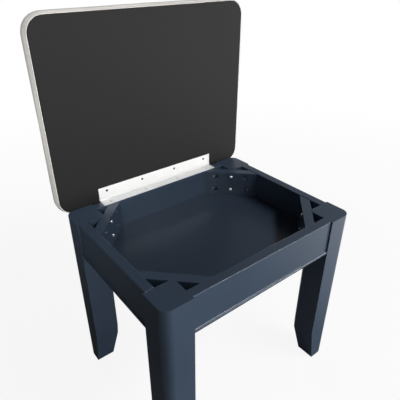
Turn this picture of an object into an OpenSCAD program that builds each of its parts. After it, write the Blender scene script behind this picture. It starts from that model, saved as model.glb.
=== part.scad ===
// Vanity stool with a storage compartment under a hinged, upholstered seat.
// Painted wooden frame, shown with the seat swung up on its stop.
// Millimetres, +Z up, front of the stool towards -Y.

/* [Frame] */
// Width over the legs
frame_w = 457; // [400:1:560]
// Depth over the legs
frame_d = 356; // [320:1:440]
// Height of the leg and rail tops above the floor
frame_h = 402; // [340:1:480]

/* [Legs] */
// Side of the square leg
leg_w = 58; // [50:1:66]
// Radius of the leg's outer corner
leg_round = 18; // [8:1:24]
// Flat cut on the leg's inner corner, measured along each face
leg_flat = 7.5; // [6:0.5:12]
// Side of the foot, where the inner faces have tapered in
foot_w = 41; // [34:1:48]
// Height above the floor at which the taper starts
taper_h = 92; // [60:1:140]

/* [Rails] */
// Thickness of the rails
rail_t = 19; // [16:1:22]
// Height of the rails
rail_h = 80; // [70:1:110]
// How far the rails stand back from the legs' outer faces
rail_setback = 3.5; // [2:0.5:8]
// Radius that eases the rails' top edges
rail_ease = 1.5; // [0.5:0.5:3]

/* [Bead moulding] */
// Height of the bead along the bottom of each rail
bead_h = 8.5; // [6:0.5:12]
// How far the bead stands out of the rail
bead_out = 2.5; // [1.5:0.5:4]
// Depth of the rebate that the bead is glued into
bead_seat = 4; // [3:0.5:6]

/* [Corner braces] */
// Thickness of the diagonal boards
brace_t = 19; // [16:1:22]
// Drop of the boards' top edges below the rails' tops
brace_drop = 1; // [0.5:0.5:4]
// Distance of the outer screw columns from the board's middle
brace_column = 36.5; // [30:0.5:40]
// Depth of the upper row of screws below the rails' tops
upper_row = 13; // [10:1:18]
// Depth of the lower row of screws below the rails' tops
lower_row = 46.5; // [36:0.5:54]

/* [Compartment] */
// Depth of the compartment below the rails' tops
store_depth = 62; // [50:1:66]
// Thickness of the compartment's floor
floor_t = 6; // [4:1:9]
// Width of the cleats that carry the floor
cleat_w = 12; // [10:1:18]
// Play between the floor's edges and what surrounds it
floor_play = 0.2; // [0.1:0.1:0.5]

/* [Joints and screws] */
// Diameter of the dowels between rails and legs
dowel_d = 8; // [6:1:10]
// Length of a dowel
dowel_l = 30; // [24:1:36]
// Depth of the upper dowels below the rails' tops
dowel_upper = 20; // [16:1:24]
// Spacing between the upper and lower dowels
dowel_pitch = 40; // [30:1:44]
// Shank diameter of the screws through the braces into the legs
leg_screw_d = 5; // [4:0.5:6]
// Length of the screws into the legs, under the head
leg_screw_l = 48; // [40:1:54]
// Shank diameter of the pocket screws into the rails
rail_screw_d = 4; // [3:0.5:5]
// Length of the pocket screws, under the head
rail_screw_l = 28; // [22:1:30]
// Head diameter of both kinds of screw
screw_head_d = 8.5; // [7.5:0.5:10]
// Height of the round heads
screw_head_h = 2.8; // [2:0.2:3.6]
// Depth of the angled pockets, along the screw
pocket_depth = 6; // [4:0.5:8]

/* [Feet] */
// Diameter of the nylon glides
glide_d = 25; // [18:1:28]
// Height that the glides stand out of the feet
glide_out = 1.5; // [1:0.5:3]
// Depth of the glides' seats in the feet
glide_seat = 2.5; // [2:0.5:4]
// Diameter of the glides' nails
glide_nail_d = 3; // [2:0.5:4]
// Length of the glides' nails above the seats
glide_nail_l = 12; // [8:1:16]

/* [Hinge] */
// Length of the hinge
hinge_l = 298; // [240:1:320]
// How far the hinge sits from the stool's middle
hinge_x = -2.5; // [-6:0.5:6]
// Number of knuckles, shared by the two leaves
knuckles = 12; // [8:2:16]
// Outer diameter of the knuckles
knuckle_d = 5.8; // [5.4:0.1:5.9]
// Diameter of the pin
pin_d = 3; // [2:0.2:3.2]
// Thickness of the leaves
leaf_t = 1.2; // [1:0.1:1.3]
// Width of the leaf on the seat, from the pin's axis
lid_leaf_w = 27; // [22:0.5:32]
// Height of the pin's axis above the rails' tops
axis_rise = 3; // [3:0.1:3.2]
// Distance between screws along the leaves
hinge_pitch = 87; // [70:1:90]
// Distance of the frame leaf's screws from the pin's axis
frame_screw_in = 14; // [10:0.5:17]
// Distance of the seat leaf's screws from the pin's axis
lid_screw_in = 18.4; // [12:0.2:20]
// Shank diameter of the hinge screws
hinge_screw_d = 3; // [2.5:0.5:3.5]
// Length of the hinge screws
hinge_screw_l = 11; // [9:1:12]

/* [Seat] */
// How far the seat's underside panel overhangs the legs at each side
lid_side = 6.5; // [4:0.5:14]
// How far the closed panel overhangs the front legs
lid_front = 9.5; // [4:0.5:14]
// How far the closed panel overhangs the back legs
lid_back = 7.8; // [5:0.1:12]
// Corner radius of the underside panel
lid_round = 29.5; // [20:0.5:40]
// Thickness of the underside panel
panel_t = 3.5; // [3.5:0.5:8]
// Thickness of the plywood under the foam
board_t = 12; // [9:1:15]
// Height of the whole seat from its underside to the crown
seat_h = 50; // [44:1:70]
// Gap between the closed seat and the rails' tops at the hinge
closed_gap = 2.7; // [2.7:0.1:3]
// Gap between the open seat and the legs that stop it
stop_gap = 0.3; // [0.2:0.1:0.5]

/* [Upholstery] */
// Thickness of the woven cover
cover_t = 1.5; // [1:0.1:2]
// How far the padded side swells past the panel's edge
side_swell = 6; // [2:0.5:8]
// How much the swell is drawn in halfway between two corners
side_draw = 1.2; // [0:0.2:3]
// Height of the swell's widest line above the underside
swell_h = 12; // [10:1:24]
// Radius with which the side turns over into the top
edge_turn = 16; // [10:1:24]
// Height at which the top's crown starts
shoulder_h = 38; // [32:1:44]

/* [Hidden] */

$fn = 48;
eps = 0.5;             // how far a cut runs past the face it opens
fit = 0.05;            // radial clearance round screws, dowels and the pin
hole_end = 0.5;        // air past the end of a screw or dowel in its hole
knuckle_gap = 0.3;     // end play between two knuckles
barrel_room = 0.8;     // clearance of the panel's notch round the knuckles
notch_end = 2;         // clearance of the notch past each end of the hinge
pin_head_t = 0.8;      // thickness of the pin's upset ends
pin_head_out = 0.7;    // how far they stand out round the pin
leaf_clear = 0.5;      // clearance of a leaf's plate in front of the other leaf's knuckles
tongue_lap = 1;        // how far a knuckle's tongue runs into its plate
tongue_stop = 0.7;     // how far the seat leaf's tongues stop short of the pin
pocket_room = 0.5;     // clearance of the angled pockets round the screw heads
screw_tip_r = 0.3;     // radius of the blunt screw tips
drive_w = 1;           // width of the crossed drive in the round heads
drive_deep = 1.2;      // depth of it
flat_drive_w = 0.7;    // width of the crossed drive in the hinge screws
flat_drive_deep = 0.8; // depth of it
foam_gap = 0.3;        // clearance of the board and foam inside the cover
crown_power = 3.5;     // how flat the crown is in its middle

half_w = frame_w / 2;
half_d = frame_d / 2;
leg_in_x = half_w - leg_w;
leg_in_y = half_d - leg_w;
rail_in_x = half_w - rail_setback - rail_t;
rail_in_y = half_d - rail_setback - rail_t;
rail_low = frame_h - rail_h;
floor_top = frame_h - store_depth;
brace_out = leg_in_x + leg_in_y + leg_flat;   // x + y on the brace's outer face
brace_in = brace_out - brace_t * sqrt(2);     // x + y on its inner face
brace_mid = (rail_in_x - rail_in_y) / 2;      // half of x - y at the brace's middle

lid_w = frame_w + 2 * lid_side;
lid_d = frame_d + lid_front + lid_back;
lid_y = (lid_back - lid_front) / 2;            // middle of the closed seat
lid_low = frame_h + closed_gap;                // underside of the closed seat
axis_y = half_d + stop_gap + axis_rise - closed_gap;
axis_z = frame_h + axis_rise;
knuckle_l = hinge_l / knuckles;
frame_leaf_w = axis_y - rail_in_y;
hinge_screw_places = [for (i = [-1.5 : 1 : 1.5]) i * hinge_pitch];   // from the hinge's middle
screw_cone = leaf_t;                           // the countersunk head fills the leaf's thickness

// The open stool's bounding box is centred on the origin, so the frame stands forward of it
open_back = half_d + stop_gap + seat_h;
centre_y = (half_d - open_back) / 2;

navy = "#2c3743";
cream = "#e4dfd4";

module placed() translate([0, centre_y, 0]) children();

// Turns the seat from its closed place up to its stop
module swung_up() {
    translate([0, axis_y, axis_z]) rotate([-90, 0, 0]) translate([0, -axis_y, -axis_z]) children();
}

// Draws a piece of the right back corner at another corner
module at_corner(side, end) {
    mirror([side < 0 ? 1 : 0, 0, 0]) mirror([0, end < 0 ? 1 : 0, 0]) children();
}

module all_corners() {
    for (side = [-1, 1], end = [-1, 1]) at_corner(side, end) children();
}

// A rod or hole from a point along a level direction given by its angle
module level_rod(from, angle, length, diameter) {
    translate(from) rotate([0, 0, angle]) rotate([0, 90, 0]) cylinder(d = diameter, h = length);
}

module rounded_plate(w, d, r, t) {
    linear_extrude(t) union() {
        square([w - 2 * r, d], center = true);
        square([w, d - 2 * r], center = true);
        for (i = [-1, 1], j = [-1, 1]) translate([i * (w / 2 - r), j * (d / 2 - r)]) circle(r);
    }
}

// Dowels of the right back corner, two to each rail end
module corner_dowels(length, diameter) {
    for (drop = [dowel_upper, dowel_upper + dowel_pitch]) {
        level_rod([leg_in_x - length / 2, rail_in_y + rail_t / 2, frame_h - drop], 0, length, diameter);
        level_rod([rail_in_x + rail_t / 2, leg_in_y - length / 2, frame_h - drop], 90, length, diameter);
    }
}

// Middle of the brace's inner face at a distance along the board
function brace_point(along) = [
    (brace_in + 2 * brace_mid) / 2 + along / sqrt(2),
    (brace_in - 2 * brace_mid) / 2 - along / sqrt(2)
];

// The leg screws aim at the flat on the leg's inner corner
function leg_screw_point() = [
    (brace_in + leg_in_x - leg_in_y) / 2,
    (brace_in - leg_in_x + leg_in_y) / 2
];

module leg_screw_lines(start, length, diameter) {
    p = leg_screw_point();
    for (row = [upper_row, lower_row])
        level_rod([p[0] + start / sqrt(2), p[1] + start / sqrt(2), frame_h - row], 45, length, diameter);
}

// The pocket screws run square to the rails: along Y near the back rail, along X near the side rail
module rail_screw_lines(start, length, diameter) {
    back = brace_point(-brace_column);
    beside = brace_point(brace_column);
    for (row = [upper_row, lower_row]) {
        level_rod([back[0], back[1] + start, frame_h - row], 90, length, diameter);
        level_rod([beside[0] + start, beside[1], frame_h - row], 0, length, diameter);
    }
}

// Leg of the right back corner: outer corner rounded, inner corner cut flat, inner faces tapered
module corner_leg() {
    inset = leg_w - foot_w;
    difference() {
        translate([0, 0, glide_out]) linear_extrude(frame_h - glide_out) difference() {
            translate([leg_in_x, leg_in_y]) square(leg_w);
            translate([half_w - leg_round, half_d - leg_round]) difference() {
                square(leg_round + eps);
                circle(leg_round, $fn = 72);
            }
            translate([leg_in_x, leg_in_y])
                polygon([[-eps, -eps], [leg_flat + eps, -eps], [-eps, leg_flat + eps]]);
        }
        translate([0, half_d + eps, 0]) rotate([90, 0, 0]) linear_extrude(leg_w + 2 * eps)
            polygon([[leg_in_x - eps, taper_h], [leg_in_x, taper_h],
                     [leg_in_x + inset, 0], [leg_in_x - eps, 0]]);
        translate([leg_in_x - eps, 0, 0]) rotate([90, 0, 90]) linear_extrude(leg_w + 2 * eps)
            polygon([[leg_in_y - eps, taper_h], [leg_in_y, taper_h],
                     [leg_in_y + inset, 0], [leg_in_y - eps, 0]]);
        corner_dowels(dowel_l + 2 * hole_end, dowel_d + 2 * fit);
        leg_screw_lines(0, leg_screw_l + hole_end, leg_screw_d + 2 * fit);
        corner_glide(fit, hole_end);
    }
}

// Nylon disc with a nail, let into the foot
module corner_glide(room = 0, past = 0) {
    translate([half_w - foot_w / 2, half_d - foot_w / 2, 0]) {
        cylinder(d = glide_d + 2 * room, h = glide_out + glide_seat);
        cylinder(d = glide_nail_d + 2 * room, h = glide_out + glide_seat + glide_nail_l + past);
    }
}

// Section of a rail: local X runs outwards from the inner face, local Y runs up
module rail_section() {
    difference() {
        union() {
            square([rail_t, rail_h - rail_ease]);
            translate([rail_ease, 0]) square([rail_t - 2 * rail_ease, rail_h]);
            for (x = [rail_ease, rail_t - rail_ease]) translate([x, rail_h - rail_ease]) circle(rail_ease);
        }
        translate([rail_t - bead_seat, -eps]) square([bead_seat + eps, bead_h + eps]);
    }
}

// Section of the bead: a tongue in the rebate and a round nose in front of the rail
module bead_section() {
    nose_r = (pow(bead_h / 2, 2) + pow(bead_out, 2)) / (2 * bead_out);
    translate([rail_t - bead_seat, 0]) square([bead_seat, bead_h]);
    intersection() {
        translate([rail_t + bead_out - nose_r, bead_h / 2]) circle(nose_r, $fn = 72);
        translate([rail_t - bead_seat / 2, 0]) square([bead_seat + bead_out, bead_h]);
    }
}

// Runs a section along the back rail's place, between the back legs
module along_back() {
    translate([-leg_in_x, rail_in_y, rail_low]) rotate([90, 0, 90]) linear_extrude(2 * leg_in_x) children();
}

// Runs a section along the right rail's place, between the right legs
module along_right() {
    translate([rail_in_x, leg_in_y, rail_low]) rotate([90, 0, 0]) linear_extrude(2 * leg_in_y) children();
}

module rail_holes() {
    for (side = [-1, 1], end = [-1, 1]) at_corner(side, end) {
        corner_dowels(dowel_l + 2 * hole_end, dowel_d + 2 * fit);
        rail_screw_lines(0, pocket_depth + rail_screw_l + hole_end, rail_screw_d + 2 * fit);
    }
}

module rail_long() {
    difference() {
        along_back() rail_section();
        rail_holes();
    }
}

module rail_short() {
    difference() {
        along_right() rail_section();
        rail_holes();
    }
}

// Diagonal board of the right back corner, its ends bevelled to lie on the rails
module corner_brace() {
    difference() {
        translate([0, 0, floor_top]) linear_extrude(store_depth - brace_drop)
            polygon([[brace_in - rail_in_y, rail_in_y], [rail_in_x, brace_in - rail_in_x],
                     [rail_in_x, brace_out - rail_in_x], [brace_out - rail_in_y, rail_in_y]]);
        leg_screw_lines(-eps, brace_t + 2 * eps, leg_screw_d + 2 * fit);
        rail_screw_lines(-screw_head_d, screw_head_d + pocket_depth, screw_head_d + 2 * pocket_room);
        rail_screw_lines(0, 2 * brace_t, rail_screw_d + 2 * fit);
    }
}

module compartment_floor_panel() {
    x = rail_in_x - floor_play;
    y = rail_in_y - floor_play;
    c = brace_out - 2 * floor_play;
    translate([0, 0, floor_top - floor_t]) linear_extrude(floor_t)
        polygon([[x, c - x], [c - y, y], [y - c, y], [-x, c - x],
                 [-x, x - c], [y - c, -y], [c - y, -y], [x, x - c]]);
}

module cleat_long() {
    translate([-leg_in_x, rail_in_y - cleat_w, rail_low])
        cube([2 * leg_in_x, cleat_w, floor_top - floor_t - rail_low]);
}

module cleat_short() {
    translate([rail_in_x - cleat_w, -leg_in_y, rail_low])
        cube([cleat_w, 2 * leg_in_y, floor_top - floor_t - rail_low]);
}

// Half the screw's outline: a round head, a plain shank and a pointed tip
module round_screw_profile(length, diameter) {
    dome_r = (pow(screw_head_d / 2, 2) + pow(screw_head_h, 2)) / (2 * screw_head_h);
    intersection() {
        translate([0, dome_r - screw_head_h]) circle(dome_r, $fn = 72);
        translate([0, -screw_head_h]) square([screw_head_d, screw_head_h]);
    }
    polygon([[0, -screw_head_h / 3], [diameter / 2, -screw_head_h / 3],
             [diameter / 2, length - diameter], [screw_tip_r, length], [0, length]]);
}

// Round-headed screw pointing along +X, its head's seat at the origin, with a crossed drive
module round_screw(length, diameter) {
    rotate([0, 90, 0]) difference() {
        rotate_extrude() round_screw_profile(length, diameter);
        for (turn = [0, 90]) rotate([0, 0, turn])
            translate([-screw_head_d / 4, -drive_w / 2, -screw_head_h - eps])
                cube([screw_head_d / 2, drive_w, drive_deep + eps]);
    }
}

module corner_leg_screws() {
    p = leg_screw_point();
    for (row = [upper_row, lower_row])
        translate([p[0], p[1], frame_h - row]) rotate([0, 0, 45]) round_screw(leg_screw_l, leg_screw_d);
}

module corner_rail_screws() {
    back = brace_point(-brace_column);
    beside = brace_point(brace_column);
    for (row = [upper_row, lower_row]) {
        translate([back[0], back[1] + pocket_depth, frame_h - row]) rotate([0, 0, 90])
            round_screw(rail_screw_l, rail_screw_d);
        translate([beside[0] + pocket_depth, beside[1], frame_h - row])
            round_screw(rail_screw_l, rail_screw_d);
    }
}

// Knuckles of one leaf: every second one, starting at the first or the second
module knuckle_row(first) {
    for (i = [first : 2 : knuckles - 1])
        translate([-hinge_l / 2 + i * knuckle_l + knuckle_gap / 2, 0, 0]) children();
}

// A leaf of the hinge about its pin's axis: plate below the axis by its drop, reaching to -Y
module leaf(width, drop, reach, first, screw_in) {
    root = knuckle_d / 2 + leaf_clear;
    difference() {
        union() {
            translate([-hinge_l / 2, -width, -drop]) cube([hinge_l, width - root, leaf_t]);
            knuckle_row(first) {
                translate([0, -root - tongue_lap, -drop])
                    cube([knuckle_l - knuckle_gap, root + tongue_lap - reach, leaf_t]);
                rotate([0, 90, 0]) cylinder(d = knuckle_d, h = knuckle_l - knuckle_gap);
            }
        }
        translate([-hinge_l / 2 - eps, 0, 0]) rotate([0, 90, 0])
            cylinder(d = pin_d + 2 * fit, h = hinge_l + 2 * eps);
        for (x = hinge_screw_places) translate([x, -screw_in, -drop]) children();
    }
}

// Countersunk screw pointing down, its head's top at the origin
module flat_screw() {
    difference() {
        union() {
            translate([0, 0, -screw_cone])
                cylinder(d1 = hinge_screw_d, d2 = hinge_screw_d + 2 * screw_cone, h = screw_cone);
            translate([0, 0, hinge_screw_d - hinge_screw_l])
                cylinder(d = hinge_screw_d, h = hinge_screw_l - hinge_screw_d - screw_cone / 2);
            translate([0, 0, -hinge_screw_l])
                cylinder(d1 = 2 * screw_tip_r, d2 = hinge_screw_d, h = hinge_screw_d);
        }
        for (turn = [0, 90]) rotate([0, 0, turn])
            translate([-hinge_screw_d / 2, -flat_drive_w / 2, -flat_drive_deep])
                cube([hinge_screw_d, flat_drive_w, flat_drive_deep + eps]);
    }
}

// Hole for the countersunk screw, opening upwards from the leaf's lower face
module flat_screw_hole() {
    translate([0, 0, -eps]) cylinder(d = hinge_screw_d + 2 * fit, h = leaf_t + 2 * eps);
    cylinder(d1 = hinge_screw_d + 2 * fit, d2 = hinge_screw_d + 2 * (screw_cone + fit), h = leaf_t);
}

// Pilot holes for the seat leaf's screws, with the seat closed
module lid_pilots() {
    for (x = hinge_screw_places)
        translate([hinge_x + x, axis_y - lid_screw_in, lid_low - leaf_t])
            cylinder(d = hinge_screw_d + 2 * fit, h = hinge_screw_l + hole_end);
}

ring_corner = 6;                               // facets round a corner of the padding
ring_side = 5;                                 // facets along a side of the padding
ring_n = 4 * (ring_corner + ring_side);
turn_steps = 6;                                // rings up the padded side
turn_end = 70;                                 // slope angle at which the crown takes over
crown_rings = [0.93, 0.82, 0.64, 0.4];         // sizes of the rings over the crown

// Angle round the padded side at the panel's edge, and half the height of the side below the swell
turn_start = -acos((edge_turn - side_swell) / edge_turn);
swell_low = (swell_h - panel_t) / -sin(turn_start);

// Inset from the panel's edge and height at an angle round the side, moved in by a thickness
function turn_inset(a, skin) = (edge_turn - side_swell) - edge_turn * cos(a) + skin * cos(a);
function turn_height(a, skin) =
    swell_h + (a < 0 ? swell_low : shoulder_h - swell_h) * sin(a) - skin * max(0, sin(a));

// One ring of the padding: a rounded rectangle with its sides drawn in
function ring(hw, hd, r, z, draw) = [
    for (c = [0 : 3])
        let (sx = (c == 0 || c == 3) ? 1 : -1, sy = c < 2 ? 1 : -1, across = c % 2 == 0)
        for (j = [0 : ring_corner + ring_side - 1])
            let (
                a = 90 * c + 90 * min(j, ring_corner) / ring_corner,
                run = max(0, j - ring_corner) / ring_side,
                span = 2 * (across ? hw - r : hd - r),
                pull = draw * sin(180 * run),
                dir = [cos(a), sin(a)],
                slide = [-dir[1], dir[0]]
            )
            [sx * (hw - r) + r * dir[0] + slide[0] * run * span - dir[0] * pull,
             sy * (hd - r) + r * dir[1] + slide[1] * run * span - dir[1] * pull, z]
];

// Rings of the padding from the panel's edge to the crown, a skin's thickness inside the outer face
function pad_rings(skin) = [
    for (k = [0 : turn_steps - 1])
        let (a = turn_start + (turn_end - turn_start) * k / (turn_steps - 1), inset = turn_inset(a, skin))
        ring(lid_w / 2 - inset, lid_d / 2 - inset, lid_round - inset, turn_height(a, skin),
             side_draw * max(0, cos(2 * a))),
    for (s = crown_rings)
        let (
            inset = turn_inset(turn_end, skin),
            base = turn_height(turn_end, skin),
            z = base + (seat_h - skin - base) * (1 - pow(s, crown_power))
        )
        ring(s * (lid_w / 2 - inset), s * (lid_d / 2 - inset), s * (lid_round - inset), z, 0)
];

// The same rings from a given height upwards, the lowest one cut at that height
function rings_above(rings, low) =
    let (
        first = [for (k = [0 : len(rings) - 1]) if (rings[k][0][2] > low) k][0],
        below = rings[first - 1],
        above = rings[first],
        share = (low - below[0][2]) / (above[0][2] - below[0][2])
    )
    concat([below * (1 - share) + above * share], [for (k = [first : len(rings) - 1]) rings[k]]);

function flat_list(rings) = [for (r = rings) for (p = r) p];

// Triangles between two rings that start at given points of the list
function band(a, b, flip) = [
    for (i = [0 : ring_n - 1])
        let (j = (i + 1) % ring_n)
        each (flip ? [[a + i, b + i, a + j], [a + j, b + i, b + j]]
                   : [[a + i, a + j, b + i], [a + j, b + j, b + i]])
];

function fan(a, tip, flip) = [
    for (i = [0 : ring_n - 1]) let (j = (i + 1) % ring_n) flip ? [a + i, tip, a + j] : [a + i, a + j, tip]
];

// Foam block, crowned, resting on the plywood
module foam_block() {
    skin = cover_t + foam_gap;
    low = panel_t + board_t;
    rings = rings_above(pad_rings(skin), low);
    n = len(rings);
    points = concat(flat_list(rings), [[0, 0, seat_h - skin], [0, 0, low]]);
    faces = concat(
        [for (k = [0 : n - 2]) each band(k * ring_n, (k + 1) * ring_n, true)],
        fan((n - 1) * ring_n, n * ring_n, true),
        fan(0, n * ring_n + 1, false)
    );
    polyhedron(points, faces);
}

// Woven cover pulled over the foam, its edge turned to the panel's outline
module cover_shell() {
    outer = pad_rings(0);
    inner = pad_rings(cover_t);
    n = len(outer);
    inside = n * ring_n;
    tip = 2 * n * ring_n;
    points = concat(flat_list(outer), flat_list(inner), [[0, 0, seat_h], [0, 0, seat_h - cover_t]]);
    faces = concat(
        [for (k = [0 : n - 2]) each band(k * ring_n, (k + 1) * ring_n, true)],
        fan((n - 1) * ring_n, tip, true),
        [for (k = [0 : n - 2]) each band(inside + k * ring_n, inside + (k + 1) * ring_n, false)],
        fan(inside + (n - 1) * ring_n, tip + 1, false),
        band(0, inside, false)
    );
    polyhedron(points, faces);
}

module leg_front_left() color(navy) placed() at_corner(-1, -1) corner_leg();
module leg_front_right() color(navy) placed() at_corner(1, -1) corner_leg();
module leg_back_left() color(navy) placed() at_corner(-1, 1) corner_leg();
module leg_back_right() color(navy) placed() at_corner(1, 1) corner_leg();

module rail_front() color(navy) placed() mirror([0, 1, 0]) rail_long();
module rail_left() color(navy) placed() mirror([1, 0, 0]) rail_short();
module rail_right() color(navy) placed() rail_short();
// The back rail also holds the hinge's screws
module rail_back() {
    color(navy) placed() difference() {
        rail_long();
        for (x = hinge_screw_places)
            translate([hinge_x + x, axis_y - frame_screw_in, frame_h + leaf_t - hinge_screw_l - hole_end])
                cylinder(d = hinge_screw_d + 2 * fit, h = hinge_screw_l);
    }
}

module bead_front() color(navy) placed() mirror([0, 1, 0]) along_back() bead_section();
module bead_back() color(navy) placed() along_back() bead_section();
module bead_left() color(navy) placed() mirror([1, 0, 0]) along_right() bead_section();
module bead_right() color(navy) placed() along_right() bead_section();

module brace_front_left() color(navy) placed() at_corner(-1, -1) corner_brace();
module brace_front_right() color(navy) placed() at_corner(1, -1) corner_brace();
module brace_back_left() color(navy) placed() at_corner(-1, 1) corner_brace();
module brace_back_right() color(navy) placed() at_corner(1, 1) corner_brace();

module compartment_floor() color(navy) placed() compartment_floor_panel();
module cleat_front() color("burlywood") placed() mirror([0, 1, 0]) cleat_long();
module cleat_back() color("burlywood") placed() cleat_long();
module cleat_left() color("burlywood") placed() mirror([1, 0, 0]) cleat_short();
module cleat_right() color("burlywood") placed() cleat_short();

module dowels() color("tan") placed() all_corners() corner_dowels(dowel_l, dowel_d);
module leg_screws() color("silver") placed() all_corners() corner_leg_screws();
module rail_screws() color("silver") placed() all_corners() corner_rail_screws();
module foot_glides() color("dimgray") placed() all_corners() corner_glide();

module hinge_frame_leaf() {
    color("white") placed() translate([hinge_x, axis_y, axis_z])
        leaf(frame_leaf_w, axis_rise, knuckle_d / 4, 0, frame_screw_in) flat_screw_hole();
}

module hinge_frame_screws() {
    color("silver") placed() for (x = hinge_screw_places)
        translate([hinge_x + x, axis_y - frame_screw_in, frame_h + leaf_t]) flat_screw();
}

module hinge_pin() {
    color("silver") placed() translate([hinge_x - hinge_l / 2, axis_y, axis_z]) rotate([0, 90, 0]) {
        cylinder(d = pin_d, h = hinge_l);
        for (z = [-pin_head_t, hinge_l]) translate([0, 0, z])
            cylinder(d = pin_d + 2 * pin_head_out, h = pin_head_t);
    }
}

module hinge_lid_leaf() {
    drop = axis_rise - closed_gap + leaf_t;
    color("white") placed() swung_up() translate([hinge_x, axis_y, axis_z])
        leaf(lid_leaf_w, drop, pin_d / 2 + tongue_stop, 1, lid_screw_in)
            translate([0, 0, leaf_t]) mirror([0, 0, 1]) flat_screw_hole();
}

module hinge_lid_screws() {
    color("silver") placed() swung_up() for (x = hinge_screw_places)
        translate([hinge_x + x, axis_y - lid_screw_in, lid_low - leaf_t]) mirror([0, 0, 1]) flat_screw();
}

// Black panel under the seat, notched over the knuckles
module lid_panel() {
    notch_y = axis_y - knuckle_d / 2 - barrel_room;
    color("#1d1f22") placed() swung_up() difference() {
        translate([0, lid_y, lid_low]) rounded_plate(lid_w, lid_d, lid_round, panel_t);
        translate([hinge_x - hinge_l / 2 - notch_end, notch_y, lid_low - eps])
            cube([hinge_l + 2 * notch_end, lid_d, panel_t + 2 * eps]);
        lid_pilots();
    }
}

module seat_board() {
    inset = cover_t + foam_gap;
    color("burlywood") placed() swung_up() difference() {
        translate([0, lid_y, lid_low + panel_t])
            rounded_plate(lid_w - 2 * inset, lid_d - 2 * inset, lid_round - inset, board_t);
        lid_pilots();
    }
}

module seat_foam() color("lightyellow") placed() swung_up() translate([0, lid_y, lid_low]) foam_block();
module seat_cover() color(cream) placed() swung_up() translate([0, lid_y, lid_low]) cover_shell();

leg_front_left();
leg_front_right();
leg_back_left();
leg_back_right();
rail_front();
rail_back();
rail_left();
rail_right();
bead_front();
bead_back();
bead_left();
bead_right();
brace_front_left();
brace_front_right();
brace_back_left();
brace_back_right();
compartment_floor();
cleat_front();
cleat_back();
cleat_left();
cleat_right();
dowels();
leg_screws();
rail_screws();
foot_glides();
hinge_frame_leaf();
hinge_frame_screws();
hinge_pin();
hinge_lid_leaf();
hinge_lid_screws();
lid_panel();
seat_board();
seat_foam();
seat_cover();
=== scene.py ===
import math
import bpy
from mathutils import Matrix, Vector


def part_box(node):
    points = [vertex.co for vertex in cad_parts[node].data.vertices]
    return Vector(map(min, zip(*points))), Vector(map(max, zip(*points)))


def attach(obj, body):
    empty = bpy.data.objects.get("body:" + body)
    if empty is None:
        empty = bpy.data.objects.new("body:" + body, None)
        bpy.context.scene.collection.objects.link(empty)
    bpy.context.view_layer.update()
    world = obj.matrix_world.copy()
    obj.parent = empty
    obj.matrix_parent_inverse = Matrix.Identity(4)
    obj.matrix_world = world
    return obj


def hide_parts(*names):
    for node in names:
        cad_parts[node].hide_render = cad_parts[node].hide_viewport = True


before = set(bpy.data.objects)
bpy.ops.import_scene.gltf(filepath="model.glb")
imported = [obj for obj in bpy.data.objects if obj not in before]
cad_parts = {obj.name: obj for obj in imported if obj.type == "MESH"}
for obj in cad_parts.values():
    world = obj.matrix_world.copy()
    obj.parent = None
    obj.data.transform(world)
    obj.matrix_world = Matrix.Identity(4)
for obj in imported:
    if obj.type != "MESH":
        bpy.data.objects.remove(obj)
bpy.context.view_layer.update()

# The camera stands in front of the stool's left corner and looks down into the open compartment.
# Its lens, its place and its three directions come from a fit to the photograph's edges.
camera_data = bpy.data.cameras.new("camera")
camera_data.sensor_width = 36.0
camera_data.lens = 37.75
camera_data.clip_start = 0.01
camera = bpy.data.objects.new("camera", camera_data)
bpy.context.scene.collection.objects.link(camera)
camera_place = (-0.4601, -0.58475, 0.8515)
right = Vector((0.78663, -0.61743, 0.00015))
up = Vector((0.30882, 0.39366, 0.86583))
backward = Vector((-0.53464, -0.68104, 0.50034))
camera_turn = Matrix((right, up, backward)).transposed().to_4x4()
camera.matrix_world = Matrix.Translation(camera_place) @ camera_turn
bpy.context.scene.camera = camera


class Flow:
    """One output of a shader node, on which shader maths is written as plain expressions."""

    def __init__(self, tree, socket):
        self.tree = tree
        self.socket = socket

    def link(self, value, target):
        if isinstance(value, Flow):
            self.tree.links.new(value.socket, target)
        else:
            target.default_value = value

    def node(self, kind, inputs=(), output=0, ramp=None, **settings):
        made = self.tree.nodes.new(kind)
        for name, value in settings.items():
            setattr(made, name, value)
        if ramp:
            for stop, (place, colour) in zip(made.color_ramp.elements, ramp):
                stop.position = place
                stop.color = colour
        pairs = inputs.items() if isinstance(inputs, dict) else enumerate(inputs)
        for key, value in pairs:
            self.link(value, made.inputs[key])
        return Flow(self.tree, made.outputs[output])

    def other(self, output):
        return Flow(self.tree, self.socket.node.outputs[output])

    def maths(self, operation, *values):
        return self.node("ShaderNodeMath", values, operation=operation)

    def __add__(self, other):
        return self.maths("ADD", self, other)

    def __sub__(self, other):
        return self.maths("SUBTRACT", self, other)

    def __mul__(self, other):
        return self.maths("MULTIPLY", self, other)


def start_material(name):
    """A new material, with the flow that its nodes start from and the socket that shows them."""
    material = bpy.data.materials.new(name)
    material.use_nodes = True
    tree = material.node_tree
    tree.nodes.clear()
    output = tree.nodes.new("ShaderNodeOutputMaterial")
    return material, Flow(tree, None), output.inputs["Surface"]


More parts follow.
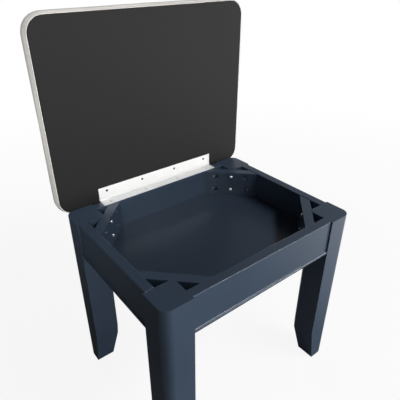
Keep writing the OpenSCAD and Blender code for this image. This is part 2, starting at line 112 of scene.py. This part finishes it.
# The floor is a plain pale sheet that keeps the stool's soft shadow. It turns to even white further
# off and in reflections to the right, and it throws little light back up at the stool.
bpy.ops.object.select_all(action="DESELECT")
bpy.ops.mesh.primitive_plane_add(size=12, location=(0, 0, 0))
floor = bpy.context.object
floor.name = "studio_floor"
floor_paper, flow, surface = start_material("floor_paper")
camera_ray = flow.node("ShaderNodeLightPath", output="Is Camera Ray")
glossy_ray = flow.node("ShaderNodeLightPath", output="Is Glossy Ray")
paleness = flow.node("ShaderNodeMix", {
    "Factor": camera_ray, "A": (0.2, 0.2, 0.2, 1), "B": (0.9, 0.9, 0.9, 1)},
    output="Result", data_type="RGBA")
paper = flow.node("ShaderNodeBsdfDiffuse", {"Color": paleness})
bright = flow.node("ShaderNodeEmission", {"Color": (1, 1, 1, 1), "Strength": 1.0})
place = flow.node("ShaderNodeTexCoord", output="Object")
out_from_stool = flow.node("ShaderNodeVectorMath", [place], output="Value", operation="LENGTH")
far_off = flow.node("ShaderNodeMapRange", {
    "Value": out_from_stool, "From Min": 0.7, "From Max": 2.2})
right_of_stool = flow.node("ShaderNodeMapRange", {
    "Value": flow.node("ShaderNodeSeparateXYZ", [place], output="X"),
    "From Min": 0.28, "From Max": 0.82})
seen = camera_ray * (far_off * 0.1 + 0.9) + glossy_ray * right_of_stool
flow.link(flow.node("ShaderNodeMixShader", [seen, paper, bright]), surface)
floor.data.materials.append(floor_paper)

# The surround is an even white backdrop. It lights the stool only weakly from all round, and shows a
# little in reflections to the right.
world = bpy.data.worlds.new("surround")
bpy.context.scene.world = world
world.use_nodes = True
world.node_tree.nodes.clear()
flow = Flow(world.node_tree, None)
camera_ray = flow.node("ShaderNodeLightPath", output="Is Camera Ray")
glossy_ray = flow.node("ShaderNodeLightPath", output="Is Glossy Ray")
transmission_ray = flow.node("ShaderNodeLightPath", output="Is Transmission Ray")
surround = flow.node("ShaderNodeBackground", {"Color": (1, 1, 1, 1), "Strength": 0.06})
backdrop = flow.node("ShaderNodeBackground", {"Color": (1, 1, 1, 1), "Strength": 1.0})
ray_direction = flow.node("ShaderNodeTexCoord", output="Generated")
aside = flow.node("ShaderNodeSeparateXYZ", [ray_direction], output="X")
to_the_right = flow.node("ShaderNodeMapRange", {
    "Value": aside, "From Min": 0.3, "From Max": 0.8, "To Min": 0.0, "To Max": 0.25})
shown = camera_ray + transmission_ray + glossy_ray * to_the_right
flow.link(flow.node("ShaderNodeMixShader", [shown, surround, backdrop]),
          world.node_tree.nodes.new("ShaderNodeOutputWorld").inputs["Surface"])


# Soft lamps stand round the stool: a key at the front right that draws clear shadows, two long low
# ones in front that light the legs and aprons, one behind, and a spot on the padding's edge.
def softbox(name, towards, distance, width, height, energy):
    lamp_data = bpy.data.lights.new(name, "AREA")
    lamp_data.shape = "RECTANGLE"
    lamp_data.size = width
    lamp_data.size_y = height
    lamp_data.energy = energy
    lamp = bpy.data.objects.new(name, lamp_data)
    bpy.context.scene.collection.objects.link(lamp)
    direction = Vector(towards).normalized()
    stool_middle = Vector((0, 0, 0.35))
    lamp.location = stool_middle + direction * distance
    lamp.rotation_euler = direction.to_track_quat("Z", "Y").to_euler()


softbox("key_softbox", towards=(0.65, -1.0, 1.24), distance=2.2, width=1.0, height=0.25, energy=25)
softbox("front_softbox", towards=(-0.1, -1.0, -0.02), distance=4.0, width=2.0, height=0.45, energy=46)
softbox("side_softbox", towards=(0.68, -0.73, -0.02), distance=4.0, width=2.6, height=0.45, energy=76)
softbox("back_softbox", towards=(0.3, 1.0, 0.12), distance=3.5, width=3.4, height=1.3, energy=66)
edge_data = bpy.data.lights.new("edge_spot", "SPOT")
edge_data.energy = 48
edge_data.shadow_soft_size = 0.15
edge_data.spot_size = math.radians(26)
edge_data.spot_blend = 0.5
edge_spot = bpy.data.objects.new("edge_spot", edge_data)
bpy.context.scene.collection.objects.link(edge_spot)
padding_edge = Vector((-0.24, 0.17, 0.62))
spot_distance = 1.5
direction = Vector((-0.62, -0.72, 0.3)).normalized()
edge_spot.location = padding_edge + direction * spot_distance
edge_spot.rotation_euler = direction.to_track_quat("Z", "Y").to_euler()
bpy.context.scene.view_settings.view_transform = "Standard"


def principled(flow, surface, **inputs):
    """Shows a material's one shader, with the values or links of its sockets."""
    sockets = {name.replace("_", " "): value for name, value in inputs.items()}
    flow.link(flow.node("ShaderNodeBsdfPrincipled", sockets, output="BSDF"), surface)


# The four legs are square posts of solid wood, the outer corner rounded and the inner corner cut
# flat. They are sprayed with the navy satin paint of the whole frame, which rounds every edge a little.
def navy_satin(name, thin, thick):
    material, flow, surface = start_material(name)
    place = flow.node("ShaderNodeTexCoord", output="Object")
    peel = flow.node("ShaderNodeTexNoise", {"Vector": place, "Scale": 420.0, "Detail": 2.0})
    cloud = flow.node("ShaderNodeTexNoise", {"Vector": place, "Scale": 9.0, "Detail": 3.0})
    shade = flow.node("ShaderNodeMix", {"Factor": cloud, "A": thick, "B": thin},
                      output="Result", data_type="RGBA")
    bump = flow.node("ShaderNodeBump", {"Height": peel, "Strength": 0.06, "Distance": 0.0003})
    principled(flow, surface, Base_Color=shade, Roughness=cloud * 0.06 + 0.28, Normal=bump)
    return material


navy_paint = navy_satin("navy_paint", thin=(0.052, 0.079, 0.122, 1), thick=(0.040, 0.062, 0.097, 1))


def pick(piece):
    """Selects one piece alone and makes it the active one."""
    bpy.ops.object.select_all(action="DESELECT")
    piece.select_set(True)
    bpy.context.view_layer.objects.active = piece


def eased(name, body, material, width, rounded=True):
    """A copy of a node with clean faces, and with its edges rounded over or cut to a narrow flat."""
    same_point = 0.00001
    flat_angle = math.radians(0.5)
    edge_angle = math.radians(35)
    piece = bpy.data.objects.new(name + "_piece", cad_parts[name].data.copy())
    bpy.context.scene.collection.objects.link(piece)
    piece.data.materials.clear()
    piece.data.materials.append(material)
    pick(piece)
    bpy.ops.object.mode_set(mode="EDIT")
    bpy.ops.mesh.select_all(action="SELECT")
    bpy.ops.mesh.remove_doubles(threshold=same_point)
    bpy.ops.mesh.dissolve_limited(angle_limit=flat_angle)
    bpy.ops.object.mode_set(mode="OBJECT")
    bpy.ops.object.shade_smooth_by_angle(angle=edge_angle)
    bevel = piece.modifiers.new("ease", "BEVEL")
    bevel.width = width
    bevel.segments = 2 if rounded else 1
    bevel.limit_method = "ANGLE"
    bevel.angle_limit = edge_angle
    bevel.harden_normals = rounded
    bpy.ops.object.modifier_apply(modifier="ease")
    if not rounded:
        bpy.ops.object.shade_smooth_by_angle(angle=edge_angle)
    piece.modifiers.new("flatten", "WEIGHTED_NORMAL").keep_sharp = True
    bpy.ops.object.modifier_apply(modifier="flatten")
    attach(piece, body)
    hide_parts(name)


corners = ("front_left", "front_right", "back_left", "back_right")
for corner in corners:
    eased("leg_" + corner, "frame", navy_paint, width=0.0009)

# The four rails are boards set back a little from the legs' faces and doweled to them, with a round
# bead glued along each lower edge. They are sprayed together with the legs.
for side in ("front", "back", "left", "right"):
    eased("rail_" + side, "frame", navy_paint, width=0.0017, rounded=False)
    eased("bead_" + side, "frame", navy_paint, width=0.0006)

# A diagonal board closes each corner of the compartment. Its ends are mitred against the rails and it
# is screwed to them and to the leg's flat inner corner with two rows of screws.
for corner in corners:
    eased("brace_" + corner, "frame", navy_paint, width=0.0008, rounded=False)

# The compartment's floor is a thin fibreboard panel laid on the cleats, sprayed before it goes in. Its
# navy is a darker copy of the frame's paint, which is painted shade for the dim inside of the
# compartment.
navy_with_painted_shade = navy_satin("navy_painted_shade_floor", thin=(0.036, 0.053, 0.083, 1),
                        thick=(0.028, 0.042, 0.067, 1))
eased("compartment_floor", "frame", navy_with_painted_shade, width=0.0004)


# Bare softwood holds the compartment's floor and the joints: a cleat is glued along the inside of each
# rail, and two turned dowels pin each end of every rail to its leg. The wood's grain runs lengthwise.
def bare_wood(name, stretch):
    material, flow, surface = start_material(name)
    place = flow.node("ShaderNodeTexCoord", output="Object")
    lengthwise = flow.node("ShaderNodeVectorMath", [place, stretch],
                           output="Vector", operation="MULTIPLY")
    rings = flow.node("ShaderNodeTexNoise", {
        "Vector": lengthwise, "Scale": 130.0, "Detail": 3.0, "Distortion": 0.6})
    pores = flow.node("ShaderNodeTexNoise", {"Vector": lengthwise, "Scale": 900.0, "Detail": 2.0})
    tone = flow.node("ShaderNodeMix", {
        "Factor": rings * 1.2 + pores * 0.5 - 0.35,
        "A": (0.42, 0.27, 0.14, 1), "B": (0.66, 0.49, 0.30, 1)}, output="Result", data_type="RGBA")
    bump = flow.node("ShaderNodeBump", {"Height": rings + pores, "Strength": 0.2, "Distance": 0.0003})
    principled(flow, surface, Base_Color=tone, Roughness=pores * 0.2 + 0.55, Normal=bump)
    return material


wood_along_x = bare_wood("softwood_lengthwise", stretch=(0.06, 1, 1))
wood_along_y = bare_wood("softwood_crosswise", stretch=(1, 0.06, 1))
wood_upright = bare_wood("turned_dowel", stretch=(1, 1, 0.3))
for name, finish in (("cleat_front", wood_along_x), ("cleat_back", wood_along_x),
                     ("cleat_left", wood_along_y), ("cleat_right", wood_along_y),
                     ("dowels", wood_upright)):
    eased(name, "frame", finish, width=0.0003)

# A domed glide of grey moulded nylon is nailed under each foot, so that the stool slides on the
# floor. It sits in a shallow seat and is a little scuffed.
nylon, flow, surface = start_material("grey_nylon")
place = flow.node("ShaderNodeTexCoord", output="Object")
scuffs = flow.node("ShaderNodeTexNoise", {"Vector": place, "Scale": 260.0, "Detail": 3.0})
bump = flow.node("ShaderNodeBump", {"Height": scuffs, "Strength": 0.15, "Distance": 0.0003})
principled(flow, surface, Base_Color=(0.25, 0.25, 0.24, 1), Roughness=scuffs * 0.25 + 0.35,
           Normal=bump)
eased("foot_glides", "frame", nylon, width=0.0003)

# A continuous hinge joins the seat to the back rail. Its two leaves are thin steel strip, rolled into
# knuckles that interleave round one pin, and enamelled white. One lies on the rail, one on the seat.
white_enamel, flow, surface = start_material("white_enamel")
place = flow.node("ShaderNodeTexCoord", output="Object")
ripple = flow.node("ShaderNodeTexNoise", {"Vector": place, "Scale": 300.0, "Detail": 1.0})
drift = flow.node("ShaderNodeTexNoise", {"Vector": place, "Scale": 25.0, "Detail": 2.0})
shade = flow.node("ShaderNodeMix", {
    "Factor": drift, "A": (0.87, 0.87, 0.862, 1), "B": (0.92, 0.92, 0.914, 1)},
    output="Result", data_type="RGBA")
bump = flow.node("ShaderNodeBump", {"Height": ripple, "Strength": 0.02, "Distance": 0.0002})
principled(flow, surface, Base_Color=shade, Roughness=drift * 0.05 + 0.33, Normal=bump)
eased("hinge_frame_leaf", "frame", white_enamel, width=0.0002)
eased("hinge_lid_leaf", "seat", white_enamel, width=0.0002)

# Pan-head screws hold the corner boards and countersunk ones the hinge's leaf on the rail. They and the
# hinge's pin are zinc-plated steel, dulled by the plating.
zinc_steel, flow, surface = start_material("zinc_steel")
place = flow.node("ShaderNodeTexCoord", output="Object")
brushed = flow.node("ShaderNodeTexNoise", {"Vector": place, "Scale": 1500.0, "Detail": 2.0})
principled(flow, surface, Base_Color=(0.62, 0.62, 0.61, 1), Metallic=1.0,
           Roughness=brushed * 0.2 + 0.32)
for name in ("leg_screws", "rail_screws", "hinge_frame_screws", "hinge_pin"):
    eased(name, "frame", zinc_steel, width=0.0001)

# The leaf on the seat is held by countersunk steel screws, which go through the black board into the
# plywood.
# Their near-black colour is painted shade, for the shadow that lies in their countersinks.
steel_with_painted_shade, flow, surface = start_material("steel_with_painted_shade")
place = flow.node("ShaderNodeTexCoord", output="Object")
brushed = flow.node("ShaderNodeTexNoise", {"Vector": place, "Scale": 1500.0, "Detail": 2.0})
principled(flow, surface, Base_Color=(0.03, 0.03, 0.032, 1), Metallic=0.7,
           Roughness=brushed * 0.2 + 0.3)
eased("hinge_lid_screws", "seat", steel_with_painted_shade, width=0.0001)

# The seat's underside is closed by a thin black fibreboard with rounded corners. It covers the staples
# of the woven cover and is notched at the back edge for the hinge's knuckles.
black_board, flow, surface = start_material("black_board")
place = flow.node("ShaderNodeTexCoord", output="Object")
fibre = flow.node("ShaderNodeTexNoise", {"Vector": place, "Scale": 700.0, "Detail": 3.0})
tone = flow.node("ShaderNodeValToRGB", [fibre], ramp=[
    (0.3, (0.016, 0.016, 0.0162, 1)), (0.7, (0.0195, 0.0195, 0.0197, 1))])
bump = flow.node("ShaderNodeBump", {"Height": fibre, "Strength": 0.1, "Distance": 0.0003})
principled(flow, surface, Base_Color=tone, Roughness=0.55, Normal=bump, Specular_IOR_Level=0.13)
eased("lid_panel", "seat", black_board, width=0.0004)

# The seat's board is birch plywood. Its veneers show as stripes round the edge, and the faces are plain
# rotary-cut veneer with the grain along the seat.
plywood, flow, surface = start_material("birch_plywood")
place = flow.node("ShaderNodeTexCoord", output="Object")
veneer = 0.00133
depth = flow.node("ShaderNodeSeparateXYZ", [place], output="Y")
plies = flow.maths("SINE", depth * (math.pi / veneer)) * 0.5 + 0.5
lengthwise = flow.node("ShaderNodeVectorMath", [place, (0.05, 1, 1)],
                       output="Vector", operation="MULTIPLY")
grain = flow.node("ShaderNodeTexNoise", {"Vector": lengthwise, "Scale": 160.0, "Detail": 3.0})
tone = flow.node("ShaderNodeMix", {
    "Factor": plies * 0.35 + grain * 0.8 - 0.1,
    "A": (0.47, 0.33, 0.19, 1), "B": (0.73, 0.60, 0.42, 1)}, output="Result", data_type="RGBA")
bump = flow.node("ShaderNodeBump", {"Height": grain, "Strength": 0.2, "Distance": 0.0003})
principled(flow, surface, Base_Color=tone, Roughness=grain * 0.2 + 0.5, Normal=bump)
eased("seat_board", "seat", plywood, width=0.0003)

# The seat is a foam block on a plywood board under a close cream weave. The cloth is pulled over the
# foam, turned round the board's edge and stapled underneath, where the black board hides its end.
# It swells a little between the crown and the board, and is gathered where it turns the round corners.
panel_low, panel_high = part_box("lid_panel")
cover_low, cover_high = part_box("seat_cover")
outline_x = (panel_high.x - panel_low.x) / 2
outline_y = (panel_high.z - panel_low.z) / 2
swelling_room = 0.0022
weave_proud = 0.0002
seat_height = cover_high.y - panel_low.y - swelling_room
swell = panel_low.x - cover_low.x + weave_proud
corner_radius = 0.0295
core_x = outline_x - corner_radius
core_y = outline_y - corner_radius
swell_height = 0.012
side_turn = 0.016
side_draw = 0.0012
shoulder_height = 0.037
board_underside = panel_high.y - panel_low.y

# It is made lying face up on its panel: a thin slice of it at its widest line comes first.
first_slice = 0.001
bpy.ops.object.select_all(action="DESELECT")
bpy.ops.mesh.primitive_cube_add(size=1)
cover = bpy.context.object
cover.name = "woven_cover"
bpy.ops.object.mode_set(mode="EDIT")
bpy.ops.transform.resize(value=(2 * (outline_x + swell), 2 * (outline_y + swell), first_slice))
bpy.ops.transform.translate(value=(0, 0, swell_height))
bpy.ops.mesh.select_mode(type="EDGE")


def select_parts(piece, kind, test):
    """Selects the vertices, edges or faces that pass a test, and nothing else."""
    bpy.ops.object.mode_set(mode="OBJECT")
    for parts in (piece.data.vertices, piece.data.edges, piece.data.polygons):
        parts.foreach_set("select", [False] * len(parts))
    for part in getattr(piece.data, kind):
        part.select = test(part)
    bpy.ops.object.mode_set(mode="EDIT")


def upright(edge):
    a, b = (cover.data.vertices[i].co for i in edge.vertices)
    return (a - b).to_2d().length < 1e-6


select_parts(cover, "edges", upright)
bpy.ops.mesh.bevel(offset=corner_radius + swell, segments=12, affect="EDGES")


def run_rings(side, steps):
    """Insets the top (1) or the bottom (-1) face again and again, each time with a step further out."""
    select_parts(cover, "polygons", lambda f: f.normal.z * side > 0.99 and len(f.vertices) > 8)
    for (inset, height), (last_inset, last_height) in zip(steps[1:], steps):
        bpy.ops.mesh.inset(thickness=max(0.0, inset - last_inset), depth=height - last_height)


def turned_in(angle, steps, rise):
    """The insets and heights through which the side turns in, up to an angle."""
    angles = [angle * k / steps for k in range(steps + 1)]
    return [(side_turn * (1 - math.cos(a)), rise * math.sin(a)) for a in angles]


# The side turns over the shoulder into the crown above, and under the board's edge below.
rim_width = 0.0014
tail_length = 0.006
under_turn = math.acos(1 - (swell - rim_width) / side_turn)
under_drop = (swell_height - board_underside) / math.sin(under_turn)
under = turned_in(under_turn, 4, under_drop)
under.append((swell - rim_width, swell_height + tail_length))
over_rise = shoulder_height - swell_height
over = turned_in(math.radians(70), 6, over_rise)
crown_base = over[-1][1] + swell_height
crown_fullness = 3.5
run_rings(1, over)
last_size, last_height = 1.0, 0.0
for size in (0.93, 0.82, 0.64, 0.4, 0.15):
    height = (seat_height - crown_base) * (1 - size ** crown_fullness)
    bpy.ops.mesh.extrude_region_move(TRANSFORM_OT_translate={"value": (0, 0, height - last_height)})
    bpy.ops.transform.resize(value=(size / last_size, size / last_size, 1), center_override=(0, 0, 0))
    last_size, last_height = size, height
run_rings(-1, under)
bpy.ops.object.mode_set(mode="OBJECT")


def apply(piece, kind, **settings):
    """Adds one modifier to a piece and applies it."""
    pick(piece)
    modifier = piece.modifiers.new("step", kind)
    for name, value in settings.items():
        setattr(modifier, name, value)
    bpy.ops.object.modifier_apply(modifier="step")


apply(cover, "REMESH", mode="VOXEL", voxel_size=0.005)


def past_the_core(place):
    """How far a point lies outside the rectangle that joins the four corner centres."""
    x = max(0.0, abs(place.x) - core_x)
    y = max(0.0, abs(place.y) - core_y)
    return Vector((math.copysign(x, place.x), math.copysign(y, place.y)))


# The sides pull in a little between the corners.
side_band = 0.01
for vertex in cover.data.vertices:
    out = past_the_core(vertex.co)
    if out.length > side_band and min(abs(out.x), abs(out.y)) == 0:
        reach = vertex.co.y / core_y if out.x else vertex.co.x / core_x
        rise = vertex.co.z - swell_height
        slope = rise / (under_drop if rise < 0 else over_rise)
        pull = side_draw * max(0.0, 1 - 2 * slope * slope) * math.cos(reach * math.pi / 2)
        vertex.co -= out.normalized().to_3d() * pull

# The stuffed cover swells under the pressure of its foam, held where it lies on the board. The foam
# also limits how far each point moves out, in and along.
held_band = 0.0015
last_moment = 20
most_out, most_in, most_along = 0.003, 0.0004, 0.001
start = [(vertex.co.copy(), vertex.normal.copy()) for vertex in cover.data.vertices]
held = cover.vertex_groups.new(name="held_by_board")
held.add([v.index for v in cover.data.vertices if v.co.z < board_underside + held_band],
         1.0, "REPLACE")
cloth = cover.modifiers.new("swelling", "CLOTH")
cloth.settings.quality = 5
cloth.settings.use_pressure = True
cloth.settings.uniform_pressure_force = 0.6
cloth.settings.tension_stiffness = 60
cloth.settings.compression_stiffness = 60
cloth.settings.effector_weights.gravity = 0.0
cloth.settings.vertex_group_mass = "held_by_board"
cloth.point_cache.frame_start = 1
cloth.point_cache.frame_end = last_moment
for moment in range(1, last_moment + 1):
    bpy.context.scene.frame_set(moment)
pick(cover)
bpy.ops.object.modifier_apply(modifier="swelling")
bpy.context.scene.frame_set(1)
for vertex, (before, normal) in zip(cover.data.vertices, start):
    move = vertex.co - before
    push = move.dot(normal)
    slide = move - normal * push
    slide *= min(1.0, most_along / max(slide.length, 1e-9))
    vertex.co = before + slide + normal * max(-most_in, min(push, most_out))

# The foam block is the same form without the cloth's thickness, standing on the board.
cloth_room = 0.0018
foam = bpy.data.objects.new("foam_block", cover.data.copy())
bpy.context.scene.collection.objects.link(foam)
apply(foam, "DISPLACE", strength=-cloth_room, mid_level=0.0)


def cut_below(piece, height, closed):
    """Cuts a piece off level at a height, and closes the cut or leaves it open."""
    pick(piece)
    bpy.ops.object.mode_set(mode="EDIT")
    bpy.ops.mesh.select_all(action="SELECT")
    bpy.ops.mesh.bisect(plane_co=(0, 0, height), plane_no=(0, 0, 1), clear_inner=True,
                        use_fill=closed)
    bpy.ops.object.mode_set(mode="OBJECT")


board_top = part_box("seat_board")[1].y - panel_low.y
glue_line = 0.0001
cut_below(foam, board_top + glue_line, closed=True)
apply(cover, "SUBSURF", levels=1, render_levels=1)

# The gathers at each corner are five shallow folds that run out where the cloth leaves the board.
gathers = 5
gather_depth = 0.0009
gather_rise, gather_end = 0.004, 0.026
for vertex in cover.data.vertices:
    out = past_the_core(vertex.co)
    if min(abs(out.x), abs(out.y)) > 0:
        turn = math.atan2(abs(out.y), abs(out.x)) / (math.pi / 2)
        rise = max(0.0, vertex.co.z - board_underside)
        fade = (min(1.0, rise / gather_rise) * max(0.0, 1 - rise / gather_end)
                * math.sin(turn * math.pi) ** 0.5)
        fold = 0.5 + 0.5 * math.cos(turn * gathers * 2 * math.pi)
        vertex.co -= out.normalized().to_3d() * gather_depth * fold ** 2 * fade
cloth_end = 0.0008
cloth_thickness = 0.0012
cut_below(cover, cloth_end, closed=False)
apply(cover, "SOLIDIFY", thickness=cloth_thickness, offset=-1.0)

# The weave follows the cloth as it was cut, flat, before it was pulled down over the sides.
flat_place = []
for vertex in cover.data.vertices:
    out = past_the_core(vertex.co)
    drop = (seat_height - vertex.co.z) / (corner_radius + swell)
    flat_place += [vertex.co.x + out.x * drop, vertex.co.y + out.y * drop, 0.0]
cloth_place = cover.data.attributes.new("cloth_place", "FLOAT_VECTOR", "POINT")
cloth_place.data.foreach_set("vector", flat_place)

cream_weave, flow, surface = start_material("cream_weave")
laid = flow.node("ShaderNodeAttribute", output="Vector", attribute_name="cloth_place")
along = flow.node("ShaderNodeSeparateXYZ", [laid], output="X")
across = along.other("Y")
thread_pitch = 0.0013
warp_wave = flow.maths("SINE", along * (math.pi / thread_pitch))
weft_wave = flow.maths("SINE", across * (math.pi / thread_pitch))
crossing = warp_wave * weft_wave
warp = flow.maths("ABSOLUTE", warp_wave) * 0.5 + crossing * 0.5
weft = flow.maths("ABSOLUTE", weft_wave) * 0.5 - crossing * 0.5
weave = flow.maths("MAXIMUM", warp, weft)
slub_lengthwise, slub_crosswise = 14, 420
warp_slub = flow.node("ShaderNodeTexNoise", {
    "Vector": flow.node("ShaderNodeCombineXYZ", [along * slub_lengthwise, across * slub_crosswise]),
    "Scale": 1.0, "Detail": 2.0})
weft_slub = flow.node("ShaderNodeTexNoise", {
    "Vector": flow.node("ShaderNodeCombineXYZ", [along * slub_crosswise, across * slub_lengthwise]),
    "Scale": 1.0, "Detail": 2.0})
slub = warp_slub + weft_slub
tone = flow.node("ShaderNodeMix", {
    "Factor": weave * 0.35 + slub * 0.75 - 0.45,
    "A": (0.70, 0.67, 0.62, 1), "B": (0.88, 0.862, 0.83, 1)}, output="Result", data_type="RGBA")
bump = flow.node("ShaderNodeBump", {
    "Height": weave + slub * 0.6, "Strength": 0.35, "Distance": 0.0004})
principled(flow, surface, Base_Color=tone, Roughness=0.85, Sheen_Weight=0.04, Sheen_Roughness=0.5,
           Normal=bump)

foam_cells, flow, surface = start_material("foam_cells")
place = flow.node("ShaderNodeTexCoord", output="Object")
cells = flow.node("ShaderNodeTexVoronoi", {"Vector": place, "Scale": 900.0}, output="Distance")
tone = flow.node("ShaderNodeMix", {
    "Factor": cells, "A": (0.80, 0.73, 0.50, 1), "B": (0.66, 0.58, 0.37, 1)},
    output="Result", data_type="RGBA")
bump = flow.node("ShaderNodeBump", {"Height": cells, "Strength": 0.5, "Distance": 0.0005})
principled(flow, surface, Base_Color=tone, Roughness=0.95, Normal=bump)

# Both are turned up to stand behind the hinge, as the seat is open at rest.
panel_middle = ((panel_low.x + panel_high.x) / 2, panel_low.y, (panel_low.z + panel_high.z) / 2)
opened = Matrix.Translation(panel_middle) @ Matrix.Rotation(math.radians(-90), 4, "X")
soft_edge_angle = math.radians(40)
for piece, finish, slot in ((foam, foam_cells, "foam"), (cover, cream_weave, "cream_weave")):
    piece.data.materials.append(finish)
    piece.data.transform(opened)
    pick(piece)
    bpy.ops.object.shade_smooth_by_angle(angle=soft_edge_angle)
    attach(piece, "seat")
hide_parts("seat_foam")
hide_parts("seat_cover")
